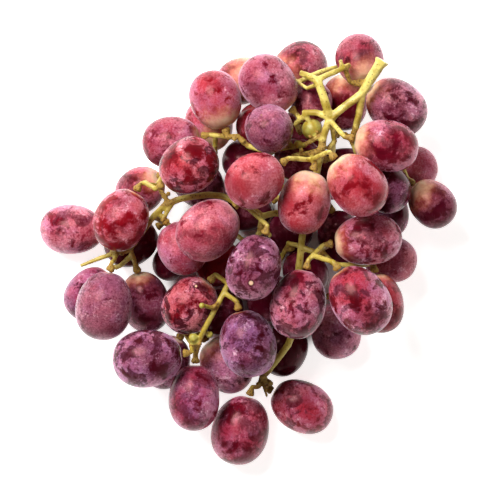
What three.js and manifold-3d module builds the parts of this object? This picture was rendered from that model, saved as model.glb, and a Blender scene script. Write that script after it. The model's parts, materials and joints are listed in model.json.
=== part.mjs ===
// A bunch of large red table grapes, lying on its side on a flat surface, as cut from the vine.
// Millimetres, +Z up. X and Y span the surface, and the cut end of the stalk points to +X +Y.
// The stalk is one solid: the main stem, its side shoots, the short stem of every berry, and
// the few stunted berries that never swelled. Each full berry is a solid of its own.
import * as THREE from "three";
import { mergeVertices } from "three/addons/utils/BufferGeometryUtils.js";
import Module from "manifold-3d";

const wasm = await Module();
wasm.setup();

// Driving dimensions of a berry
const BERRY_SIDES = 12; // facets round the berry
const BERRY_BANDS = 6; // bands from stem end to tip
const FACET_SWELL = 1 / Math.sqrt(Math.cos(Math.PI / BERRY_SIDES)); // keeps the true girth
const BERRY_FULLNESS = 2.12; // 2 is an ellipsoid, more is barrel-shaped
const BERRY_TAPER = 0.045; // how much wider the tip half is than the stem half
const DIMPLE_DEPTH = 0.5; // hollow that the berry's stem sits in
const FLAT_DEPTH = 0.3; // how far the skin gives where a berry rests on the surface

// Driving dimensions of the stalk
const PIECE_GAP = 0.3; // air left between a berry and the stalk
const WORK_GAP = 0.45; // the same while berries and stems are laid out, with room for facets
const STEM_RADIUS = 0.95; // the short stem of one berry
const BRANCH_RADIUS = 1.25; // where it carries more than one berry
const CAP_RADIUS = 2; // the swollen end that meets the berry, at its widest
const CAP_LENGTH = 2;
const STEM_LEAD = 3.6; // how far a stem runs straight out of its berry
const CAP_FOOT = 0.8; // radius of the cap where it meets the berry, as a share of CAP_RADIUS
const CAP_SWELL = 0.35; // where along the cap it is widest
const CAP_NECK = 0.7; // radius at its other end, as a share of CAP_RADIUS
const STEM_SIDES = 5;
const SHOOT_SIDES = 6;
const RING_SPACING = 6; // from one bend of a stem to the next
const SHORT_EDGE = 0.05; // edges and slivers under this are closed up in the finished stalk
const CRUMB = 0.5; // cubic millimetres; trimmings smaller than this are swept away

// How the berries settle against each other
const BERRY_GAP = 0.6; // air left between two berries
const SETTLE_ROUNDS = 500;
const HOLD_PLACE = 0.05; // pull of each berry back to its place seen from above
const HOLD_LEVEL = 0.008; // pull of each berry back to its level
const SIDE_SHARE = 0.5; // how much of a push goes sideways, against straight up or down
const BERRY_YIELD = 0.5; // share of the needed move that is made in one round

// How the berries' stems find their way between the berries
const CELL = 1.5; // size of the steps that are tried
const TIGHT_COST = 40; // how strongly a stem keeps out of narrow places
const SMOOTH_ROUNDS = 30;
const FIRST_PULL = 0.4; // how far a bend moves to the middle of its neighbours in the first round
const STRAIGHT_ENOUGH = 0.5; // a bend smaller than this is left out
const CELL_MARGIN = 0.6; // extra clearance that a cell needs to be cheap, as it is coarse
const LOW_CORNER = new THREE.Vector3(-100, -100, 0); // where the cells are counted from
const CELLS_ACROSS = 140; // more cells than the bunch spans in X or in Y
const JOINING_CELLS = 3; // the last stretch before a joint has no bend, counted in cells
const BARE_LEAD = 2; // no stem joins another this near to its lead

// The berries: x and y of the middle seen from above, level of the middle, length and width,
// the compass heading of the stem end (0 is +X, 90 is +Y), how far that end tilts up, and skin.
// A berry whose level is FLOOR rests on the surface.
const FLOOR = null;
const BERRIES = [
  // The end of the bunch nearest the cut
  [43.8, 73.4, 15, 22.5, 20.2, -75, 40, "rose"],
  [19.6, 70.6, FLOOR, 24, 21.2, 215, 25, "rose"],
  [-2.4, 67.2, FLOOR, 23, 19.8, 15, 35, "rose"],
  [8.4, 65.2, 30, 26.5, 22.4, -47, -8, "rose"],
  [-12.6, 60.4, 29, 25, 21.4, -72, 8, "crimson"],
  [7.6, 48.4, 44, 21, 20, -60, -50, "plum"],
  [4.4, 49.4, 25, 20.5, 19, -35, -20, "crimson"],
  [36.4, 58.6, FLOOR, 24, 19.8, 85, 15, "rose"],
  [57.8, 58.8, 20, 27, 22.6, 142, 8, "plum"],
  [54, 41.2, 39, 27, 21.4, 168, 4, "rose"],
  [61.6, 27.4, FLOOR, 21.4, 18.8, 200, -10, "rose"],
  [71.4, 19.4, 24, 22, 18.8, 135, 12, "plum"],
  // The left shoulder
  [-24.6, 34, 38, 25.5, 23, 215, -10, "crimson"],
  [-16.8, 26.4, FLOOR, 23, 20, -45, 0, "plum"],
  [-30.4, 43.4, 21, 24.5, 21.4, 10, 5, "rose"],
  [-14.8, 48.8, FLOOR, 23.5, 20.2, -80, 28, "crimson"],
  [-67.6, 6, FLOOR, 27, 20.8, -2, 16, "rose"],
  [-51.6, 12, 33, 26.5, 22.6, 62, 2, "crimson"],
  [-44.2, 20.4, FLOOR, 22, 19.4, 35, 35, "crimson"],
  [-46.4, 3, FLOOR, 23.5, 20, 30, 0, "plum"],
  [-58.4, -22.4, 33, 28.5, 23.4, 80, 5, "plum"],
  [-62.4, -15.4, FLOOR, 24, 19.4, 50, 5, "rose"],
  [-39.4, -15.6, FLOOR, 26, 20.6, 104, 18, "plum"],
  // The crown of the bunch, uppermost as it lies
  [2.4, 28.4, 51, 25.4, 22.4, 33, -8, "crimson"],
  [21.6, 19.2, 49, 26.6, 21.8, 75, 6, "crimson"],
  [43, 26.4, 52, 27.6, 23, 130, 2, "crimson"],
  [-16.4, 7.6, 45, 28, 23.6, 42, 2, "rose"],
  [1.6, -6.8, 47, 27.8, 22.6, 72, 0, "plum"],
  [18.8, -21.6, 46, 29, 23, 77, 2, "rose"],
  [43.6, -20, 45, 30, 24, 125, 2, "crimson"],
  [47.2, 4, 34, 28.4, 21.2, 186, 2, "rose"],
  [-0.4, -37.2, 38, 28, 23.4, 105, 4, "plum"],
  [-23, -21, 28, 25, 22, 50, 6, "crimson"],
  // The right flank
  [55.6, 25.6, 27, 23, 20, 125, -20, "plum"],
  [59, 15.4, FLOOR, 21, 18.6, 90, -5, "plum"],
  [55.2, -2.8, 14, 23, 19.4, 165, 0, "rose"],
  [52.4, -20, 22, 25, 19.6, 100, 5, "crimson"],
  [34.4, -32.4, FLOOR, 24, 21, 95, 5, "plum"],
  // The left flank and the tip of the bunch
  [-27, -1.6, 20, 23, 20, 122, 0, "crimson"],
  [-38, -5.6, FLOOR, 18, 14.8, 60, 22, "plum"],
  [-40.8, -43.6, 32, 29, 24, 8, 4, "plum"],
  [-33.2, -45.4, FLOOR, 23.5, 19.6, 62, 22, "plum"],
  [-22.4, -58.4, 17, 27.8, 21.4, 88, 4, "rose"],
  [-10.8, -43.2, FLOOR, 25, 20.4, 128, 5, "plum"],
  [13.6, -40, FLOOR, 23, 20, 60, 0, "plum"],
  [-3.6, -71.6, FLOOR, 29, 23.8, 75, 4, "rose"],
  [20, -61.4, FLOOR, 27, 21.4, 152, 4, "crimson"],
  // The underside, seen as the dark berries between those above
  [15.4, 6.8, FLOOR, 21, 18.8, 60, 10, "plum"],
  [35, 4.6, FLOOR, 24, 20, 110, 22, "plum"],
  [20, -8, 16, 21, 18.6, 120, 10, "plum"],
  [25.2, 47.6, FLOOR, 20, 18.4, 90, 20, "rose"],
  [18.8, 36.8, 27, 20, 18, 0, -10, "plum"],
  [34, 37.6, FLOOR, 21, 18.8, 95, 10, "plum"],
  [-16, -8, FLOOR, 21, 18.4, 60, 15, "crimson"],
  [0.8, 18, FLOOR, 20.5, 18, 20, 15, "plum"],
  [-3.4, 34.8, FLOOR, 20.5, 18.2, -20, 15, "plum"],
  [-11, -24.4, FLOOR, 21, 18.2, 40, 22, "plum"],
  [8, -20, FLOOR, 21, 18.6, 75, 10, "plum"],
  [23.8, 58.6, 25.5, 19, 17, -110, 10, "plum"],
];

// The shoots: radius at root and end, and the points along each from its root outwards.
const SHOOTS = [
  // Main stem, from the cut end to the tip of the bunch
  [3.3, 2.4, [[53, 75.8, 43], [52, 74, 42.8]]],
  [2.4, 1.9, [[53, 75.8, 43], [49, 69.6, 42], [44.8, 62.6, 41]]],
  [1.75, 1.6, [[44.8, 62.6, 41], [37.5, 57, 40.5], [32.4, 53, 40], [29.6, 46.5, 38.5], [28.6, 39.5, 36]]],
  [1.6, 1.5, [[28.6, 39.5, 36], [25.6, 26, 31], [21.2, 8, 30.5], [20.4, 0, 30], [18.6, -16, 28],
    [17.2, -34, 26], [12, -42.4, 24], [4.8, -51.2, 18]]],
  // First side shoot, under the right flank
  [1.7, 1.4, [[45, 63, 41], [43.8, 56, 38], [42.8, 50, 34], [41, 44, 30], [43, 39, 27]]],
  // Fork at the head, and its two arms
  [1.9, 1.9, [[31.8, 53.4, 40], [30.4, 58, 40.8], [28.4, 64, 41], [26.8, 68, 40.5]]],
  [1.7, 1.3, [[26.8, 68, 40.5], [23.4, 69.4, 38.8], [20.2, 70.8, 36.5]]],
  [1.4, 1.1, [[26.8, 68, 40.5], [32, 70.4, 39.8], [36.8, 72.4, 38.5], [40, 74.2, 36.5]]],
  [1.2, 0.9, [[38, 73, 38], [39, 68.6, 36], [40, 67, 34]]],
  [1.1, 0.9, [[36.8, 72.4, 38.5], [36.2, 76, 37.5]]],
  [1.2, 0.9, [[27.6, 66.4, 40.5], [24.8, 66, 37], [22.8, 64.6, 34]]],
  // Shoot to the left of the head
  [1.6, 1.3, [[32.4, 52.8, 40], [27.6, 54.8, 39], [22.4, 54.6, 37], [21, 55, 36.2]]],
  [1.3, 1.1, [[22.6, 54.4, 37], [19.6, 52.2, 34.5], [18.2, 50.6, 32.5]]],
  [1.1, 1.1, [[22.4, 54.4, 37], [23.6, 51.4, 35.5], [24.6, 48.6, 34]]],
  [1.2, 1, [[28.2, 45.8, 38], [24.4, 43.8, 37], [21.8, 42, 36]]],
  [1.2, 1, [[28.6, 39.8, 36.4], [24.8, 38.4, 36.8], [20, 38.8, 38], [16.8, 37.6, 40]]],
  // Short strands under the fork
  [1.3, 1.1, [[32.4, 52, 39.6], [33.4, 46, 35], [33.6, 42, 33], [31, 40.2, 34.5]]],
  [1.1, 1, [[33.4, 47, 35.5], [37.6, 46.4, 32.5], [41, 45, 30]]],
  // Shoot to the left shoulder, high
  [1.3, 1.2, [[21.8, 42, 36], [14, 41, 34], [8, 40.4, 32], [2.4, 40, 31], [-1.6, 42.2, 31], [-5, 45.6, 31.5]]],
  // Shoot to the left shoulder, low
  [1.5, 1.4, [[22.4, 13, 31], [10, 14.8, 31], [4.8, 13.6, 31.5], [0.8, 16.6, 31.5], [-4, 18.4, 31.5],
    [-12.8, 22, 29.5], [-26, 20.8, 27.5], [-32.8, 18.8, 27], [-39.2, 12.8, 24.5], [-44, 6, 24], [-48.8, 0, 24]]],
  [1.1, 0.9, [[-32.8, 19, 27], [-35, 23.6, 27], [-37, 26, 27]]],
  [1.1, 0.9, [[-31, 19.2, 27], [-33, 15, 27], [-35.4, 11.4, 27]]],
  [1.3, 0.8, [[-48.8, 0, 24], [-52.8, -0.8, 24.5], [-60, -3.2, 24.5], [-68, -6.4, 24.5]]],
  [1.1, 1, [[-53.4, -0.8, 24.5], [-54.4, -4.4, 26]]],
  // Shoot to the middle of the bunch
  [1.3, 1.2, [[4.8, 13.4, 31.5], [4.4, 8.8, 31], [1.4, 2, 30.5], [-2.6, -5, 30], [-8.4, -12.8, 32], [-11, -18, 33.5],
    [-13.6, -23.2, 34.5], [-18.4, -32, 33], [-20.6, -36.8, 30.5], [-21.6, -41, 27]]],
  [1.1, 1, [[4.4, 8.8, 31], [8.4, 5.6, 33.5]]],
  [1, 0.9, [[-13.8, -23.4, 34.5], [-16.8, -23.2, 37.8], [-19, -22.2, 40]]],
  [1.1, 0.9, [[-20.6, -37, 30.5], [-23.6, -38, 30.5]]],
  [0.8, 0.8, [[-18.8, -32.6, 33], [-16.6, -33.6, 31]]],
  // Shoots to the berries right of the middle
  [1.3, 1.1, [[20.4, 1, 30], [26, -0.8, 31], [31, -2.4, 32], [33.4, -5.6, 33.5]]],
  [1.1, 1, [[27.2, -1, 31.2], [31, 1.6, 31.5]]],
  // Twigs at the tip of the bunch
  [1.2, 1, [[4.8, -51.2, 18], [3.4, -55, 17]]],
  [1.1, 0.9, [[5.6, -51.6, 18], [9, -54, 17]]],
  [0.8, 0.6, [[5.2, -53, 18], [6, -56, 19], [6.8, -59, 19.5]]],
];

// Stunted berries, and knots where one dropped: place, half height and half width.
// One with a half width above ROUND_FROM has finer facets.
const ROUND_FROM = 2.5;
const STUNTED = [
  [24.8, 48.4, 33.5, 4.3, 4.3],
  [19.2, 42.2, 37, 2.9, 2.1],
  [-22.7, -35.2, 31.6, 2.3, 2.3],
  [-16.2, -33.8, 30.4, 1.8, 1.8],
  [-19.2, -22.2, 40.2, 1.5, 1.5],
  [26.4, 39.2, 37.4, 1.8, 1.5],
  [28.8, 41, 36.8, 2.4, 2],
];

const MATERIALS = {
  crimson: new THREE.MeshStandardMaterial({ color: "#a03444", roughness: 0.45, metalness: 0 }),
  rose: new THREE.MeshStandardMaterial({ color: "#a8506a", roughness: 0.5, metalness: 0 }),
  plum: new THREE.MeshStandardMaterial({ color: "#66263f", roughness: 0.5, metalness: 0 }),
  stalk: new THREE.MeshStandardMaterial({ color: "#b9b45a", roughness: 0.65, metalness: 0 }),
};

const UP = new THREE.Vector3(0, 0, 1);
const vector = ([x, y, z]) => new THREE.Vector3(x, y, z);
const radians = THREE.MathUtils.degToRad;

// A closed geometry as a solid that can be joined and cut
function toSolid(geometry) {
  const bare = geometry.clone();
  bare.deleteAttribute("normal");
  bare.deleteAttribute("uv");
  const merged = mergeVertices(bare, 1e-4);
  const corners = [];
  for (let i = 0; i < merged.index.count; i += 3) {
    const [a, b, c] = [0, 1, 2].map((k) => merged.index.getX(i + k));
    if (a !== b && b !== c && c !== a) {
      corners.push(a, b, c);
    }
  }
  const vertProperties = new Float32Array(merged.attributes.position.array);
  return new wasm.Manifold(new wasm.Mesh({ numProp: 3, vertProperties, triVerts: new Uint32Array(corners) }));
}

function toGeometry(solid) {
  const { vertProperties, triVerts } = solid.getMesh();
  const geometry = new THREE.BufferGeometry();
  geometry.setAttribute("position", new THREE.BufferAttribute(new Float32Array(vertProperties), 3));
  geometry.setIndex(new THREE.BufferAttribute(new Uint32Array(triVerts), 1));
  geometry.computeVertexNormals();
  return geometry;
}

// A berry's outline turned round its long axis, with the stem end and its dimple at +Y
function berryGeometry(length, width) {
  const outline = [];
  for (let band = 0; band <= BERRY_BANDS; band++) {
    const turn = (Math.PI * band) / BERRY_BANDS;
    const along = Math.sign(Math.cos(turn)) * Math.abs(Math.cos(turn)) ** (2 / BERRY_FULLNESS);
    const out = FACET_SWELL * Math.sin(turn) ** (2 / BERRY_FULLNESS) * (1 - BERRY_TAPER * along);
    outline.push(new THREE.Vector2((out * width) / 2, (along * length) / 2));
  }
  outline[0].set(0, length / 2 - DIMPLE_DEPTH);
  outline[BERRY_BANDS].x = 0;
  return new THREE.LatheGeometry(outline.reverse(), BERRY_SIDES, Math.PI / BERRY_SIDES);
}

// While the berries settle, each is a core line with round ends
class Berry {
  constructor([x, y, level, length, width, heading, tilt, skin]) {
    Object.assign(this, { length, width, skin });
    this.radius = width / 2;
    this.core = (length - width) / 2;
    this.axis = new THREE.Vector3(Math.cos(radians(heading)), Math.sin(radians(heading)), 0)
      .multiplyScalar(Math.cos(radians(tilt)))
      .addScaledVector(UP, Math.sin(radians(tilt)));
    this.resting = level === FLOOR;
    this.lowest = this.radius + this.core * Math.abs(this.axis.z);
    this.home = new THREE.Vector3(x, y, this.resting ? this.lowest - FLAT_DEPTH : level);
    this.middle = this.home.clone();
  }

  get ends() {
    return [-this.core, this.core].map((way) => this.middle.clone().addScaledVector(this.axis, way));
  }

  get stemEnd() {
    return this.middle.clone().addScaledVector(this.axis, this.length / 2 - DIMPLE_DEPTH + WORK_GAP);
  }

  // The vector from the berry's core line to a point
  away(point) {
    const offset = point.clone().sub(this.middle);
    const along = THREE.MathUtils.clamp(offset.dot(this.axis), -this.core, this.core);
    return offset.addScaledVector(this.axis, -along);
  }

  push(move) {
    const side = this.resting ? 1 : SIDE_SHARE;
    this.middle.x += move.x * side;
    this.middle.y += move.y * side;
    if (!this.resting) {
      this.middle.z = Math.max(this.middle.z + move.z, this.lowest + BERRY_GAP);
    }
  }

  place(object) {
    object.position.copy(this.middle);
    // The facet nearest the ground lies level, so that a resting berry has a flat spot
    const across = new THREE.Vector3().crossVectors(this.axis, UP).normalize();
    const level = new THREE.Vector3().crossVectors(across, this.axis);
    object.quaternion.setFromRotationMatrix(new THREE.Matrix4().makeBasis(across, this.axis, level));
    object.updateMatrix();
  }
}

// The two nearest points of two straight lines between end points
function nearestPoints([a, b], [c, d]) {
  const u = b.clone().sub(a);
  const v = d.clone().sub(c);
  const w = a.clone().sub(c);
  const [uu, uv, vv, uw, vw] = [u.dot(u), u.dot(v), v.dot(v), u.dot(w), v.dot(w)];
  const skew = uu * vv - uv * uv; // 0 when the lines are parallel
  let s = skew > 1e-9 ? THREE.MathUtils.clamp((uv * vw - vv * uw) / skew, 0, 1) : 0;
  const t = THREE.MathUtils.clamp((uv * s + vw) / vv, 0, 1);
  s = THREE.MathUtils.clamp((uv * t - uw) / uu, 0, 1);
  return [a.clone().addScaledVector(u, s), c.clone().addScaledVector(v, t)];
}

// Straight stretches of the shoots, and the stunted berries, that the berries keep clear of
const stretches = [];
for (const [rootRadius, , points] of SHOOTS) {
  for (let i = 1; i < points.length; i++) {
    stretches.push({ ends: [vector(points[i - 1]), vector(points[i])], radius: rootRadius });
  }
}
for (const [x, y, z, along, across] of STUNTED) {
  const short = 0.1; // a stretch has to have some length
  const ends = [new THREE.Vector3(x, y, z - short), new THREE.Vector3(x, y, z + short)];
  stretches.push({ ends, radius: Math.max(along, across) });
}

// Keep a berry off the place where another berry's stem begins
function makeRoomForCap(berry, other) {
  const tip = berry.middle.clone().addScaledVector(berry.axis, berry.length / 2 + CAP_LENGTH);
  const apart = other.away(tip);
  const missing = other.radius + STEM_RADIUS + 2 * PIECE_GAP - apart.length();
  if (missing > 0) {
    apart.setLength((missing * BERRY_YIELD) / 2);
    berry.push(apart);
    other.push(apart.negate());
  }
}

function settle(berries) {
  for (let round = 0; round < SETTLE_ROUNDS; round++) {
    for (let i = 0; i < berries.length; i++) {
      for (let j = i + 1; j < berries.length; j++) {
        const [a, b] = [berries[i], berries[j]];
        const reach = (a.length + b.length) / 2 + BERRY_GAP;
        makeRoomForCap(a, b);
        makeRoomForCap(b, a);
        if (a.middle.distanceTo(b.middle) < reach) {
          const [onA, onB] = nearestPoints(a.ends, b.ends);
          const apart = onB.sub(onA);
          const missing = a.radius + b.radius + BERRY_GAP - apart.length();
          if (missing > 0) {
            apart.setLength((missing * BERRY_YIELD) / 2);
            b.push(apart);
            a.push(apart.negate());
          }
        }
      }
    }
    for (const berry of berries) {
      for (const stretch of stretches) {
        const [onBerry, onShoot] = nearestPoints(berry.ends, stretch.ends);
        const apart = onBerry.sub(onShoot);
        const missing = berry.radius + stretch.radius + WORK_GAP - apart.length();
        if (missing > 0) {
          berry.push(apart.setLength(missing * BERRY_YIELD));
        }
      }
      const home = berry.home.clone().sub(berry.middle);
      berry.middle.x += home.x * HOLD_PLACE;
      berry.middle.y += home.y * HOLD_PLACE;
      berry.middle.z += home.z * HOLD_LEVEL;
    }
  }
}

const berries = BERRIES.map((row) => new Berry(row));
settle(berries);

// A bar of round section through a row of points, with a ring of its own radius at each
function bar(points, radii, sides) {
  const geometry = new THREE.CylinderGeometry(1, 1, 1, sides, points.length - 1);
  const position = geometry.attributes.position;
  const sections = [];
  let normal = new THREE.Vector3(0.3, 0.5, 0.8); // any direction that no bar starts along
  points.forEach((middle, i) => {
    const before = points[Math.max(i - 1, 0)];
    const after = points[Math.min(i + 1, points.length - 1)];
    const ahead = after.clone().sub(before).normalize();
    normal = normal.clone().addScaledVector(ahead, -normal.dot(ahead)).normalize();
    const across = new THREE.Vector3().crossVectors(ahead, normal);
    sections.push({ middle, normal, across, radius: radii[i] });
  });
  for (let i = 0; i < position.count; i++) {
    const ring = Math.round((0.5 - position.getY(i)) * (points.length - 1));
    const { middle, normal: out, across, radius } = sections[ring];
    const place = middle.clone();
    place.addScaledVector(out, position.getX(i) * radius);
    place.addScaledVector(across, position.getZ(i) * radius);
    position.setXYZ(i, place.x, place.y, place.z);
  }
  return toSolid(geometry);
}

function ball([x, y, z, along, across]) {
  const geometry = new THREE.IcosahedronGeometry(1, across > ROUND_FROM ? 1 : 0);
  geometry.scale(across, across, along);
  geometry.translate(x, y, z);
  return toSolid(geometry);
}

// Clear space between a point and the nearest berry, kept for each cell that is asked for
const clearances = new Map();
const cellOf = (point) => point.clone().sub(LOW_CORNER).divideScalar(CELL).round();
const keyOf = (cell) => cell.x + CELLS_ACROSS * (cell.y + CELLS_ACROSS * cell.z);
const pointOf = (cell) => cell.clone().multiplyScalar(CELL).add(LOW_CORNER);

function clearance(point) {
  let least = Infinity;
  for (const berry of berries) {
    if (berry.middle.distanceTo(point) - berry.length / 2 < least) {
      least = Math.min(least, berry.away(point).length() - berry.radius);
    }
  }
  return least;
}

function cellCost(cell) {
  const key = keyOf(cell);
  if (!clearances.has(key)) {
    clearances.set(key, clearance(pointOf(cell)));
  }
  const missing = STEM_RADIUS + PIECE_GAP + CELL_MARGIN - clearances.get(key);
  return 1 + TIGHT_COST * Math.max(0, missing);
}

const STEPS = [];
for (const x of [-1, 0, 1]) {
  for (const y of [-1, 0, 1]) {
    for (const z of [-1, 0, 1]) {
      if (x || y || z) {
        STEPS.push(new THREE.Vector3(x, y, z));
      }
    }
  }
}

// The cheapest way from a point to the stalk so far, spreading outwards in order of cost
function findWay(start, grown) {
  const first = cellOf(start);
  const reached = new Map([[keyOf(first), { cell: first, cost: 0, from: null }]]);
  const waiting = [[first]];
  const closed = new Set();
  for (let level = 0; level < waiting.length; level++) {
    for (const cell of waiting[level] ?? []) {
      const key = keyOf(cell);
      if (closed.has(key)) {
        continue;
      }
      closed.add(key);
      if (grown.has(key)) {
        const way = [];
        for (let at = reached.get(key); at; at = at.from) {
          way.unshift(pointOf(at.cell));
        }
        return { way, joint: grown.get(key) };
      }
      for (const step of STEPS) {
        const next = cell.clone().add(step);
        if (next.z * CELL < STEM_RADIUS + PIECE_GAP) {
          continue;
        }
        const cost = reached.get(key).cost + step.length() * CELL * cellCost(next);
        const known = reached.get(keyOf(next));
        if (!known || cost < known.cost) {
          reached.set(keyOf(next), { cell: next, cost, from: reached.get(key) });
          const slot = Math.ceil(cost);
          (waiting[slot] ??= []).push(next);
        }
      }
    }
  }
  throw new Error("a berry's stem finds no way to the stalk");
}

// Pull a line of points straight, and push it out of the berries it comes too near
function smooth(points, fixedAtStart, radius) {
  for (let round = 0; round < SMOOTH_ROUNDS; round++) {
    const pull = FIRST_PULL * (1 - round / SMOOTH_ROUNDS);
    for (let i = fixedAtStart; i < points.length - 1; i++) {
      const middle = points[i - 1].clone().add(points[i + 1]).multiplyScalar(0.5);
      points[i].lerp(middle, pull);
      for (const berry of berries) {
        const away = berry.away(points[i]);
        const missing = berry.radius + radius + WORK_GAP - away.length();
        if (missing > 0) {
          points[i].addScaledVector(away.normalize(), missing);
        }
      }
    }
  }
  return points;
}

// Leave out each point that lies on the straight line between its neighbours
function straighten(points) {
  const kept = [...points];
  for (let i = kept.length - 2; i > 2; i--) {
    const chord = new THREE.Line3(kept[i - 1], kept[i + 1]);
    const foot = chord.closestPointToPoint(kept[i], true, new THREE.Vector3());
    if (foot.distanceTo(kept[i]) < STRAIGHT_ENOUGH && chord.distance() < 2 * RING_SPACING) {
      kept.splice(i, 1);
    }
  }
  return kept;
}

const grown = new Map(); // cells that the stalk reaches, each with the point a stem joins it at
const pieces = [];

function addToStalk(line, from, radius) {
  const samples = Math.ceil(line.getLength());
  for (let i = 0; i <= samples; i++) {
    const share = i / samples;
    if (share >= from) {
      const point = line.getPointAt(share);
      grown.set(keyOf(cellOf(point)), { point, radius });
    }
  }
}

for (const [rootRadius, endRadius, listed] of SHOOTS) {
  const points = listed.map(vector);
  const line = new THREE.CatmullRomCurve3(points, false, "centripetal");
  const steps = Math.max(1, Math.round(line.getLength() / RING_SPACING));
  const radii = Array.from({ length: steps + 1 }, (_, i) => THREE.MathUtils.lerp(rootRadius, endRadius, i / steps));
  pieces.push(bar(line.getSpacedPoints(steps), radii, SHOOT_SIDES));
  addToStalk(line, 0, endRadius);
}
for (const row of STUNTED) {
  pieces.push(ball(row));
}

// Each berry's stem, the nearest to the shoots first, so that later ones can join earlier ones
const open = berries.map((berry) => {
  const lead = berry.stemEnd.addScaledVector(berry.axis, STEM_LEAD);
  const reach = Math.min(...[...grown.values()].map(({ point }) => point.distanceTo(lead)));
  return { berry, lead, reach };
});
open.sort((one, other) => one.reach - other.reach);
for (const { berry, lead } of open) {
  const { way, joint } = findWay(lead, grown);
  const cap = berry.stemEnd;
  const collar = cap.clone().addScaledVector(berry.axis, CAP_LENGTH);
  const sparse = way.filter((point, i) => i > 0 && i % 2 === 0 && point.distanceTo(joint.point) > JOINING_CELLS * CELL);
  const points = straighten(smooth([cap, collar, lead, ...sparse, joint.point], 3, STEM_RADIUS));
  const rootRadius = Math.min(BRANCH_RADIUS, joint.radius);
  const radii = points.map((_, i) => THREE.MathUtils.lerp(STEM_RADIUS, rootRadius, i / (points.length - 1)));
  const swell = cap.clone().lerp(collar, CAP_SWELL);
  const capRadii = [CAP_FOOT, 1, CAP_NECK].map((share) => share * CAP_RADIUS);
  pieces.push(bar([cap, swell, ...points.slice(1)], [...capRadii, ...radii.slice(2)], STEM_SIDES));
  const line = new THREE.CatmullRomCurve3(points, false, "centripetal");
  const length = line.getLength();
  addToStalk(line, Math.min(1, (STEM_LEAD + BARE_LEAD) / length), BRANCH_RADIUS);
}

// Berries, with the flat spot of each that rests on the surface
const groundWidth = 400;
const groundDepth = 40;
const ground = new THREE.BoxGeometry(groundWidth, groundWidth, groundDepth);
ground.translate(0, 0, -groundDepth / 2);
const groundSolid = toSolid(ground);
const bunch = new THREE.Group();
const room = [];
berries.forEach((berry, index) => {
  const mesh = new THREE.Mesh(undefined, MATERIALS[berry.skin]);
  mesh.name = `berry_${String(index + 1).padStart(2, "0")}`;
  berry.place(mesh);
  let solid = toSolid(berryGeometry(berry.length, berry.width)).transform(mesh.matrix.elements);
  if (berry.resting) {
    const sink = -FLAT_DEPTH - solid.boundingBox().min[2];
    mesh.position.z += sink;
    mesh.updateMatrix();
    solid = solid.translate([0, 0, sink]).subtract(groundSolid);
  }
  const grow = 1 + (2 * PIECE_GAP) / berry.width;
  room.push(toSolid(berryGeometry(berry.length * grow, berry.width * grow)).transform(mesh.matrix.elements));
  mesh.geometry = toGeometry(solid.transform(mesh.matrix.clone().invert().elements));
  bunch.add(mesh);
});

// The stalk, trimmed where it would touch a berry
const whole = wasm.Manifold.union(pieces).subtract(wasm.Manifold.union(room)).subtract(groundSolid);
const bodies = whole.asOriginal().simplify(SHORT_EDGE).decompose();
bodies.sort((one, other) => other.volume() - one.volume());
if (bodies.length > 1 && bodies[1].volume() > CRUMB) {
  throw new Error("part of the stalk is cut off from the rest");
}
const stalk = new THREE.Mesh(toGeometry(bodies[0]), MATERIALS.stalk);
stalk.name = "stalk";
bunch.add(stalk);

// The origin is under the middle of the bunch, on the surface it lies on
const size = new THREE.Box3().setFromObject(bunch, true);
bunch.position.set(-(size.min.x + size.max.x) / 2, -(size.min.y + size.max.y) / 2, 0);

export default bunch;
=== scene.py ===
import json
import math

import bmesh
import bpy
from mathutils import Matrix, Vector, noise


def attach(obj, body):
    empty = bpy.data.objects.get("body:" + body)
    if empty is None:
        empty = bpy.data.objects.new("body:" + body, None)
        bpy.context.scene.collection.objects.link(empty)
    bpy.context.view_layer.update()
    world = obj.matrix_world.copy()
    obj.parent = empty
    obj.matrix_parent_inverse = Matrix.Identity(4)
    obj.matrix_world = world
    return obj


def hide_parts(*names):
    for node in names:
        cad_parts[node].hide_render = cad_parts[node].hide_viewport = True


bl_info = {
    "name": "Red table grapes",
    "version": (1, 0, 0),
    "blender": (4, 5, 0),
    "location": "View3D > Sidebar > Grapes",
    "description": "Dresses a bunch of red table grapes on its packed solids",
    "category": "Object",
}

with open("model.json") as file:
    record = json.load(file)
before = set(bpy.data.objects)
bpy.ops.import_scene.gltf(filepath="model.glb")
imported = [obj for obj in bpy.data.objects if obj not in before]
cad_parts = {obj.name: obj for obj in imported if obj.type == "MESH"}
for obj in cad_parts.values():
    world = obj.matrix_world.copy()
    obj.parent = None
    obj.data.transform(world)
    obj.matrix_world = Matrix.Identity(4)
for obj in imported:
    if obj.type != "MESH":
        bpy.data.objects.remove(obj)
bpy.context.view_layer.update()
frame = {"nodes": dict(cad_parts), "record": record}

MM = 0.001

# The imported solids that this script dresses
BERRY_NODES = sorted(name for name in frame["nodes"] if name.startswith("berry_"))
STALK_NODE = "stalk"
BERRY_POLE_EDGES = 12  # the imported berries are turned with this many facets
DIMPLE_DEPTH = 0.5 * MM  # the hollow at the stem end of a packed berry
FACET_SWELL = 1 / math.sqrt(math.cos(math.pi / BERRY_POLE_EDGES))  # its corners over its true girth
SAME_CORNER = 0.002 * MM  # corners that lie nearer than this are one

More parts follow.
